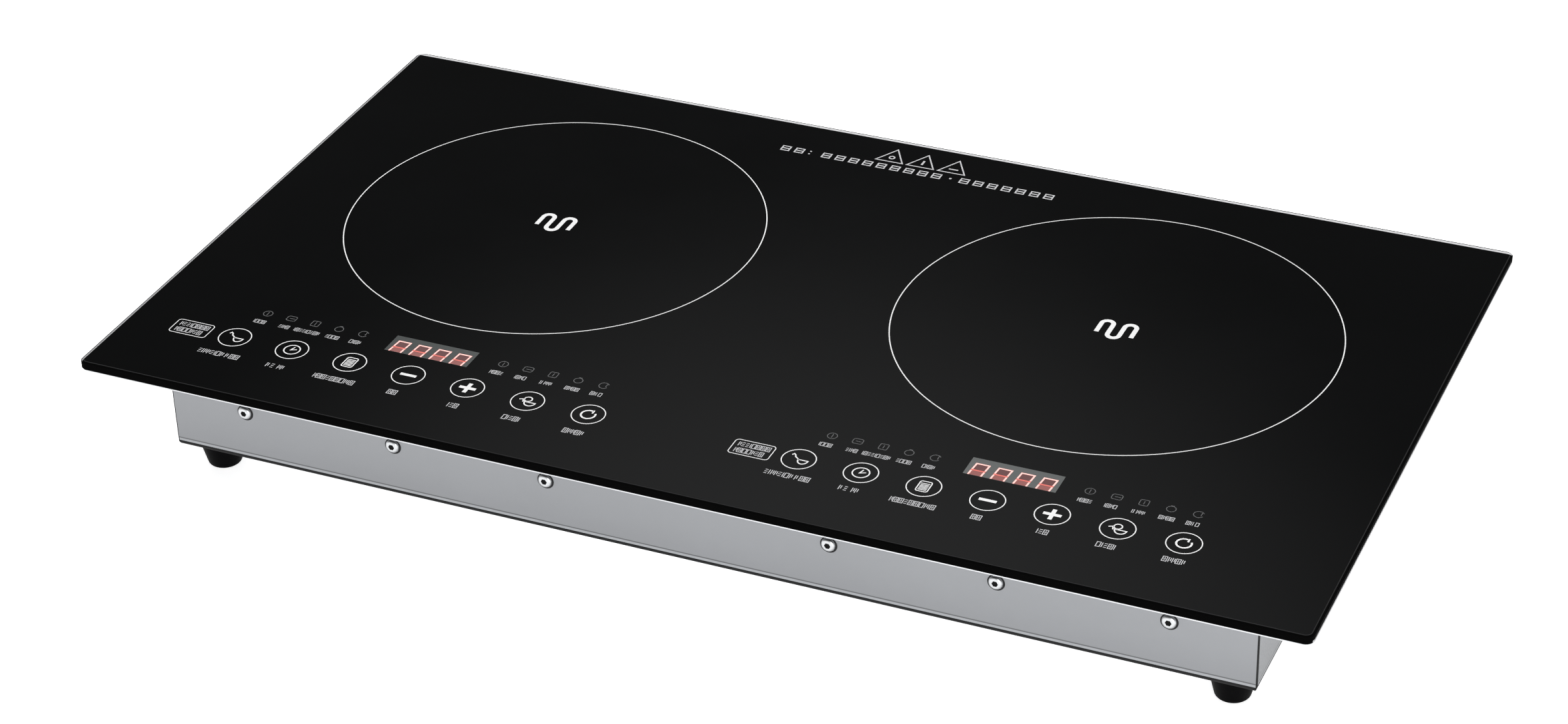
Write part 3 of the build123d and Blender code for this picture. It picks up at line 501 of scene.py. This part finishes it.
def line(points, width, closed=False):
    """Quads of a line of the given width through the points, with mitred corners."""
    count = len(points)
    sharpest = 0.35  # keeps the mitre of a sharp corner short
    offsets = []
    for i, (x, y) in enumerate(points):
        before = points[i - 1] if closed or i else None
        after = points[(i + 1) % count] if closed or i < count - 1 else None
        ways = []
        for a, b in ((before, (x, y)), ((x, y), after)):
            if a is not None and b is not None:
                length = hypot(b[0] - a[0], b[1] - a[1])
                ways.append(Vector(((b[0] - a[0]) / length, (b[1] - a[1]) / length)))
        way = (ways[0] + ways[-1]).normalized()
        normal = Vector((-way.y, way.x))
        first = Vector((-ways[0].y, ways[0].x))
        offsets.append(normal * (width / 2 / max(sharpest, normal.dot(first))))
    pairs = list(zip(points, offsets))
    if closed:
        pairs.append(pairs[0])
    return [
        [
            (p[0] - u.x, p[1] - u.y),
            (q[0] - v.x, q[1] - v.y),
            (q[0] + v.x, q[1] + v.y),
            (p[0] + u.x, p[1] + u.y),
        ]
        for (p, u), (q, v) in zip(pairs, pairs[1:])
    ]


def block(x, y, width, height):
    """A filled rectangle about its centre."""
    a, b = width / 2, height / 2
    return [[(x - a, y - b), (x + a, y - b), (x + a, y + b), (x - a, y + b)]]


def arc_angles(first, span):
    """Angles in radians from first over the span, both in degrees, in steps of 15 degrees."""
    return [radians(first + 15 * step) for step in range(span // 15 + 1)]


def rounded(x, y, half_x, half_y, corner):
    """Points round a rectangle about x, y. The corners' centres are half_x and half_y away from it."""
    points = []
    for way_x, way_y, first in ((1, -1, -90), (1, 1, 0), (-1, 1, 90), (-1, -1, 180)):
        for turn in arc_angles(first, 90 if corner else 0):
            points.append((x + way_x * half_x + corner * cos(turn), y + way_y * half_y + corner * sin(turn)))
    return points


def outline(x, y, width, height, stroke, corner=0.0):
    """A rectangle's outline, square or with rounded corners."""
    return line(rounded(x, y, width / 2 - corner, height / 2 - corner, corner), stroke, closed=True)


def moved(shapes, x, y):
    return [[(px + x, py + y) for px, py in shape] for shape in shapes]


def print_on_glass(name, shapes, material, film=0.03):
    """A thin film on the glass: each shape in millimetres becomes a closed slip of ink."""
    sink = 0.02
    mesh = bmesh.new()
    for shape in shapes:
        low = [mesh.verts.new((px * MM, py * MM, GLASS_TOP - sink * MM)) for px, py in shape]
        high = [mesh.verts.new((px * MM, py * MM, GLASS_TOP + film * MM)) for px, py in shape]
        mesh.faces.new(high)
        mesh.faces.new(low[::-1])
        for i in range(len(shape)):
            j = (i + 1) % len(shape)
            mesh.faces.new((low[i], low[j], high[j], high[i]))
    bmesh.ops.recalc_face_normals(mesh, faces=mesh.faces)
    piece = mesh_object(name, mesh, material)
    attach(piece, "housing")


# The marks that stand for a word: how often each comes, and its width as a share of its height.
MARK_DRAW = ("post", "frame", "barred", "pair", "rungs", "barred", "gap")
MARK_ADVANCE = {"post": 0.3, "frame": 0.68, "barred": 0.74, "pair": 0.5, "rungs": 0.6, "gap": 0.22}
MARK_SPACE = 0.18


def placeholder(width, height, stroke, seed):
    """A row of small upright marks that stands for a word: posts, frames and rungs, never letters."""
    chance = random.Random(seed)
    shapes, x = [], -width / 2
    while x < width / 2 - 0.3 * height:
        kind = chance.choice(MARK_DRAW)
        advance = MARK_ADVANCE[kind] * height
        wide = advance - MARK_SPACE * height
        middle_x = x + wide / 2
        if kind in ("frame", "barred"):
            shapes += outline(middle_x, 0, wide, height, stroke)
        if kind == "barred":
            shapes += block(middle_x, 0, wide, 0.8 * stroke) + block(middle_x, 0, 0.7 * stroke, height)
        if kind in ("post", "pair"):
            shapes += block(x + stroke / 2, 0, stroke, height)
        if kind == "pair":
            shapes += block(x + wide, 0.1 * height, stroke, 0.7 * height)
        if kind == "rungs":
            for rung in (-1, 0, 1):
                shapes += block(middle_x, 0.4 * rung * height, wide, stroke)
        x += advance
    return shapes


# ---------------------------------------------------------------- key symbols, about their own centre


def bowl(x, y, width, height, stroke):
    """A round-bottomed pan seen from the side."""
    points = [(x + width / 2 * cos(turn), y + height * sin(turn)) for turn in arc_angles(180, 180)]
    return line(points, stroke, closed=True)


SYMBOL_STROKE = 0.75
LAMP_STROKE = 0.45


def pan_symbol():
    handle = line([(-5.0, 2.9), (-4.2, 4.2), (-3.2, 3.4), (-2.4, 1.6), (0.3, -0.4)], SYMBOL_STROKE)
    return handle + bowl(2.6, -0.3, 5.6, 3.6, SYMBOL_STROKE)


def clock_symbol():
    return ring(0, 0, 4.6, SYMBOL_STROKE) + line([(0.4, 2.9), (-0.6, -0.5), (2.6, 0.9)], 0.7)


def cup_symbol():
    bars = [quad for rung in range(5) for quad in block(0, -3.2 + 1.15 * rung, 4.8, 0.62)]
    return outline(0, 0, 6.6, 9.4, 0.65, 1.2) + bars + block(0, 2.7, 5.2, 0.6)


def minus_symbol():
    return block(0, 0, 9.8, 2.2)


def plus_symbol():
    return block(0, 0, 10.0, 2.3) + block(0, 2.95, 2.3, 3.6) + block(0, -2.95, 2.3, 3.6)


def ladle_symbol():
    stem = line([(-5.2, 0.4), (-3.0, 1.3), (-2.2, -1.4)], SYMBOL_STROKE)
    return stem + ring(-0.4, 1.8, 2.2, SYMBOL_STROKE) + bowl(1.9, -0.9, 6.4, 3.4, SYMBOL_STROKE)


def power_symbol():
    return ring(0, -0.2, 4.0, 1.05, 70, 390, 40) + block(1.6, 3.0, 1.0, 3.0)


KEY_SYMBOLS = (
    pan_symbol,
    clock_symbol,
    cup_symbol,
    minus_symbol,
    plus_symbol,
    ladle_symbol,
    power_symbol,
)
LABEL_WIDTHS = (25, 11.5, 25, 5.5, 5, 11.5, 12)
MIDDLE_KEY = len(KEY_SYMBOLS) // 2


def lamp_symbols():
    """Five small outlines that mark the indicator lamps."""
    thin = LAMP_STROKE
    return (
        ring(0, 0, 2.7, thin) + block(0, 0, thin, 3.4),
        outline(0, 0, 5.6, 4.6, thin, 1.2) + block(0.4, 0, 3.4, thin),
        outline(0, 0, 4.8, 5.2, thin, 0.8) + block(0, 0, thin, 3.0),
        ring(0, -0.4, 2.5, thin) + block(0, 2.6, 2.0, thin),
        ring(0, 0, 2.8, thin, 30, 330) + block(1.4, 0.6, thin, 3.4),
    )


# ---------------------------------------------------------------- print on the glass


INK_WHITE = ink("ink_white", (0.62, 0.62, 0.62))
INK_LABEL = ink("ink_label", (0.37, 0.37, 0.38))
INK_FAINT = ink("ink_faint", (0.033, 0.034, 0.036))


def print_place(node_at, shift):
    """Where a print lies, in millimetres: above the middle of its node, with its shift."""
    return node_at.x / MM + shift[0], node_at.y / MM + shift[1]


def coil_sign():
    """The induction sign: four upright bars joined by three half rings."""
    width, height, stroke = 23.0, 16.5, 2.7
    pitch = (width - stroke) / 3
    straight = height - pitch
    shapes = []
    for i in range(4):
        shapes += block(-1.5 * pitch + i * pitch, 0, stroke, straight)
    for i in range(3):
        way, start = ((1, 0), (-1, 180))[i % 2]
        shapes += ring(-pitch + i * pitch, way * straight / 2, pitch / 2, stroke, start, start + 180, 20)
    return shapes


def print_zone(side):
    x, y = print_place(ZONE[side], RING_SHIFT[side])
    ring_width = 0.65
    print_on_glass(f"zone_ring_{side}", ring(x, y, RING_RADIUS[side], ring_width, steps=240), INK_WHITE)
    print_on_glass(f"zone_mark_{side}", moved(coil_sign(), x, y), INK_WHITE)


def print_keys(side):
    """A row of ringed key symbols with placeholder labels below, and a boxed label on its left."""
    x0, y = print_place(KEYS_AT[side], KEY_SHIFT[side])
    pitch = KEY_PITCH[side]
    key_radius, key_stroke = 9.3, 0.6
    label_tall, label_stroke = 4.1, 0.5
    rings, symbols, labels = [], [], []
    for i, (symbol, width) in enumerate(zip(KEY_SYMBOLS, LABEL_WIDTHS)):
        x = x0 + (i - MIDDLE_KEY) * pitch
        rings += ring(x, y, key_radius, key_stroke, steps=72)
        symbols += moved(symbol(), x, y)
        labels += moved(placeholder(width, label_tall, label_stroke, 10 + i), x, y - LABEL_DROP[side])
    box_x, box_y = x0 - 3.757 * pitch, y - 0.4
    box_wide, box_tall, box_corner = 23.2, 13.6, 2.0
    row_wide, row_tall, row_rise = 18, 3.9, 2.9
    rings += outline(box_x, box_y, box_wide, box_tall, label_stroke, box_corner)
    for row, way in enumerate((1, -1)):
        label = placeholder(row_wide, row_tall, label_stroke, 40 + row)
        labels += moved(label, box_x, box_y + way * row_rise)
    print_on_glass(f"key_rings_{side}", rings, INK_WHITE)
    print_on_glass(f"key_symbols_{side}", symbols, INK_WHITE)
    print_on_glass(f"key_labels_{side}", labels, INK_LABEL)


def print_lamps(side):
    """Five faint lamp symbols on each side of the display, with placeholder labels below."""
    x0, y = print_place(DISPLAY_AT[side], (0.0, LAMP_SHIFT[side]))
    symbol_rise, label_drop = 1.0, 8.2
    label_tall, label_stroke = 3.2, 0.40
    middle_lamp = 2
    symbols, labels = [], []
    for way, group in zip((-1, 1), LAMP_GROUPS[side]):
        for i, symbol in enumerate(lamp_symbols()):
            x = x0 + group + (i - middle_lamp) * LAMP_PITCH[side]
            label_wide = 17 if i == middle_lamp and way < 0 else 7.5
            label = placeholder(label_wide, label_tall, label_stroke, 60 + 5 * way + i)
            symbols += moved(symbol, x, y + symbol_rise)
            labels += moved(label, x, y - label_drop)
    print_on_glass(f"lamp_symbols_{side}", symbols, INK_FAINT)
    print_on_glass(f"lamp_labels_{side}", labels, INK_LABEL)


def clipped(shape, low):
    """The part of a shape above the line y = low."""
    kept = []
    for (ax, ay), (bx, by) in zip(shape, shape[1:] + shape[:1]):
        if ay >= low:
            kept.append((ax, ay))
        if (ay >= low) != (by >= low):
            share = (low - ay) / (by - ay)
            kept.append((ax + share * (bx - ax), low))
    return kept


def print_display(side):
    """A smoked window with four faint red seven-segment figures, cut off at its front edge."""
    x0, y0 = print_place(DISPLAY_AT[side], DISPLAY_SHIFT[side])
    width, depth = 51.5, 16.0
    digit_wide, half_tall, pitch, lean, stroke = 7.2, 6.2, 12.6, 0.09, 1.0
    top_margin, front_margin, digits_right = 5.0, 0.15, 0.6
    window = ink("display_window", (0.032, 0.037, 0.036), 0.12)
    print_on_glass(f"display_window_{side}", block(x0, y0, width, depth), window, 0.02)
    figures, upper, lower = [], [], []
    top = y0 + depth / 2 - top_margin
    edge = y0 - depth / 2 + front_margin
    for i in range(4):
        x = x0 + (i - 1.5) * pitch + digits_right
        for row, inside in enumerate((upper, lower)):
            centre = top - half_tall * (row + 0.5)
            figures += moved(outline(0, 0, digit_wide, half_tall, stroke), x, centre)
            inside += moved(block(0, 0, digit_wide - stroke, half_tall - stroke), x, centre)
    for name, shapes, material, film in (
        ("display_upper", upper, ink("display_upper", (0.060, 0.003, 0.003), 0.5, 0.12), 0.03),
        ("display_lower", lower, ink("display_lower", (0.17, 0.030, 0.024), 0.4, 0.15), 0.03),
        ("display_figures", figures, ink("display_figures", (0.80, 0.40, 0.36), 0.4, 0.35), 0.04),
    ):
        leaning = [[(px + lean * (py - top), py) for px, py in shape] for shape in shapes]
        kept = [shape for shape in (clipped(shape, edge) for shape in leaning) if len(shape) > 2]
        print_on_glass(f"{name}_{side}", kept, material, film)


def print_cautions():
    """At the back edge: three plain triangles and, in front of them, a row of placeholder marks."""
    back = GLASS_HIGH.y / MM
    base, top, half_wide, triangle_pitch = back - 27.5, back - 12.3, 8.6, 20.0
    shapes = []
    inner = (ring(0, -2.6, 1.6, 0.9), block(0, -2.2, 1.3, 5.0), block(0, -3.4, 6.0, 1.1))
    for i, mark in enumerate(inner):
        x = (i - 1) * triangle_pitch
        shapes += line([(x - half_wide, base), (x + half_wide, base), (x, top)], 0.85, closed=True)
        shapes += moved(mark, x, (base + top) / 2)
    print_on_glass("caution_triangles", shapes, INK_LABEL)
    count, pitch, row_y = 20, 8.9, back - 34.2
    two_dots, one_dot = 2, 12
    row = []
    for i in range(count):
        x = (i - (count - 1) / 2) * pitch
        if i == two_dots:
            row += block(x - 2, 1.6, 1.1, 1.1) + block(x - 2, -1.6, 1.1, 1.1)
        elif i == one_dot:
            row += block(x, 0, 1.4, 1.4)
        else:
            row += moved(outline(0, 0, 5.0, 5.0, 0.9) + block(0, 0, 4.0, 1.0), x, 0)
    print_on_glass("caution_row", moved(row, 0, row_y), INK_LABEL)


for side in SIDES:
    print_zone(side)
    print_keys(side)
    print_lamps(side)
    print_display(side)
print_cautions()


# ---------------------------------------------------------------- details of the case


# Section of the dark ring round each screw head, a painted contact shadow, and of the dark plug in the
# screw's socket, a painted shadow: radius, height above the wall. In millimetres.
SHADOW_RING = ((3.8, -0.05), (4.9, -0.05), (4.9, 0.2), (4.75, 0.3), (3.8, 0.3))
SHADOW_PLUG = ((0.02, 0.7), (1.8, 0.7), (1.8, 1.6), (2.2, 1.75), (1.75, 2.0), (0.6, 1.85), (0.02, 1.8))
# The dark ring sits lower than the screw head, so that its painted contact shadow shows below the head.
SHADOW_RING_DROP = 0.35
# Section of the pale bead under the glass, a painted highlight of the glass's lower edge: inset from the
# glass's edge, drop below the glass. In millimetres.
RIM_HIGHLIGHT = ((0.6, 0.0), (0.6, 0.75), (0.9, 0.95), (2.2, 0.95), (2.2, 0.0))
GLASS_CORNER = 5.0


def add_piece(name, mesh, material):
    bmesh.ops.recalc_face_normals(mesh, faces=mesh.faces)
    piece = mesh_object(name, mesh, material)
    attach(piece, "housing")


def lathe(mesh, centre, outward, profile, steps):
    """A closed ring or plug about an axis: profile is (radius, height above the wall) in millimetres."""
    side = outward.cross(Vector((0, 0, 1))).normalized()
    rows = []
    for i in range(steps):
        turn = 2 * pi * i / steps
        way = side * cos(turn) + Vector((0, 0, 1)) * sin(turn)
        rows.append([mesh.verts.new(centre + way * (r * MM) + outward * (h * MM)) for r, h in profile])
    for i in range(steps):
        here, there = rows[i], rows[(i + 1) % steps]
        for j in range(len(profile)):
            k = (j + 1) % len(profile)
            mesh.faces.new((here[j], there[j], there[k], here[k]))


def screw_places():
    """Where each screw meets its wall, and the way out of the wall."""
    height = CASE_LOW.z + SCREW_RISE
    for way in (-1, 1):
        for x in SCREW_X:
            for sign in (-1, 1):
                yield Vector((sign * x, way * CASE_HIGH.y, height)), Vector((0, way, 0))
        for sign in (-1, 1):
            yield Vector((way * CASE_HIGH.x, sign * SCREW_Y, height)), Vector((way, 0, 0))


def make_screw_details():
    """A dark ring round each screw head, set low as a painted contact shadow, and a dark plug as the painted
    shadow in the bottom of its socket.
    """
    shadow_rings, shadow_plugs = bmesh.new(), bmesh.new()
    for place, outward in screw_places():
        lathe(shadow_rings, place - Vector((0, 0, SHADOW_RING_DROP * MM)), outward, SHADOW_RING, steps=40)
        lathe(shadow_plugs, place, outward, SHADOW_PLUG, steps=6)
    shadow = moulded("socket_shadow", (0.004, 0.004, 0.004), 0.8, gloss=0.1)
    ring_shadow = moulded("screw_ring_shadow", (0.010, 0.010, 0.011), 0.6, gloss=0.2)
    add_piece("screw_shadow_rings", shadow_rings, ring_shadow)
    add_piece("screw_shadow_plugs", shadow_plugs, shadow)


def make_rim_highlight():
    """A pale bead under the glass along its edge: a painted highlight of the glass's lower edge."""
    mesh = bmesh.new()
    half_x, half_y = GLASS_HIGH.x / MM - GLASS_CORNER, GLASS_HIGH.y / MM - GLASS_CORNER
    loops = []
    for inset, drop in RIM_HIGHLIGHT:
        path = rounded(0.0, 0.0, half_x, half_y, GLASS_CORNER - inset)
        loops.append([mesh.verts.new((x * MM, y * MM, GLASS_LOW.z - drop * MM)) for x, y in path])
    count = len(loops[0])
    for i, loop in enumerate(loops):
        other = loops[(i + 1) % len(loops)]
        for j in range(count):
            k = (j + 1) % count
            mesh.faces.new((loop[j], loop[k], other[k], other[j]))
    add_piece("rim_highlight", mesh, moulded("rim_highlight", (0.60, 0.61, 0.63), 0.4, spread=0.04))


make_screw_details()
make_rim_highlight()


# ---------------------------------------------------------------- studio


def make_floor():
    """A wide pale sweep, level with the feet."""
    finish = Finish("floor")
    cloud = finish.noise(0.6, 2.0)
    finish.set("Base Color", finish.mix(cloud, (0.86, 0.86, 0.865, 1), (0.88, 0.88, 0.88, 1)))
    finish.set("Roughness", 0.9)
    # The sweep is lit from behind as well, which keeps the shadows pale.
    finish.set("Emission Color", WHITE)
    finish.set("Emission Strength", 0.75)
    # From below the floor is clear, so the underside can be looked at.
    clear = finish.add("ShaderNodeBsdfTransparent").outputs[0]
    behind = finish.add("ShaderNodeNewGeometry").outputs["Backfacing"]
    choose = finish.add("ShaderNodeMixShader", {0: behind, 1: finish.shader.outputs[0], 2: clear})
    output = finish.tree.nodes["Material Output"]
    finish.tree.links.new(choose.outputs[0], output.inputs["Surface"])
    mesh = bmesh.new()
    bmesh.ops.create_grid(mesh, x_segments=4, y_segments=4, size=12.0)
    floor = mesh_object("floor", mesh, finish.material)
    floor.location.z = CAD_BOX[0].z


def make_light(name, place, aim, size, power):
    """A soft white panel, width and height in metres, power in watts."""
    data = bpy.data.lights.new(name, "AREA")
    data.shape = "RECTANGLE"
    data.size, data.size_y = size
    data.energy = power
    lamp = linked_object(name, data)
    lamp.location = place
    lamp.rotation_euler = (Vector(aim) - Vector(place)).to_track_quat("-Z", "Y").to_euler()


def make_world():
    """A white room: bright ceiling and horizon, a dim wall between them, and at the back one soft
    panel and a low strip. Each is a smooth ramp between two limits."""
    world = bpy.data.worlds.new("studio")
    bpy.context.scene.world = world
    world.use_nodes = True
    tree = world.node_tree

    def node(kind, inputs=(), **settings):
        return add_node(tree, kind, inputs, **settings).outputs

    def ramp(value, start, stop, low, high):
        inputs = {"Value": value, "From Min": start, "From Max": stop, "To Min": low, "To Max": high}
        return node("ShaderNodeMapRange", inputs, interpolation_type="SMOOTHSTEP")[0]

    def toward(azimuth, elevation, start, stop, low, high):
        way = (-sin(azimuth) * cos(elevation), cos(azimuth) * cos(elevation), sin(elevation))
        dot = node("ShaderNodeVectorMath", {0: place, 1: way}, operation="DOT_PRODUCT")["Value"]
        return ramp(dot, start, stop, low, high)

    def joined(operation, first, second):
        return node("ShaderNodeMath", {0: first, 1: second}, operation=operation)[0]

    place = node("ShaderNodeTexCoord")["Generated"]
    rise = node("ShaderNodeSeparateXYZ", {0: place})["Z"]
    ceiling = ramp(rise, sin(radians(50)), sin(radians(75)), 0.12, 0.9)
    horizon = ramp(rise, sin(radians(17)), sin(radians(26)), 1.0, 0.0)
    strip = toward(radians(28), 0.0, cos(radians(42)), cos(radians(30)), 0.0, 2.2)
    panel = toward(radians(24.8), radians(41.8), 0.974, 1.0, 0.0, 2.5)
    low_light = joined("MULTIPLY", horizon, joined("ADD", strip, 1.0))
    total = joined("ADD", joined("ADD", ceiling, low_light), panel)
    background = tree.nodes["Background"]
    feed(tree, background.inputs["Color"], WHITE)
    feed(tree, background.inputs["Strength"], total)
    bpy.context.scene.view_settings.view_transform = "Standard"


make_floor()
make_world()
make_light("softbox_front", place=(1.25, -2.05, 0.8), aim=(0.3, -0.1, 0.03), size=(1.2, 0.9), power=12)
make_light("softbox_above", place=(0.0, 0.0, 2.6), aim=(0, 0, 0), size=(1.3, 1.3), power=60)
make_light("softbox_side", place=(0.85, -1.1, 0.35), aim=(0.33, -0.15, 0.05), size=(0.6, 0.5), power=2.6)
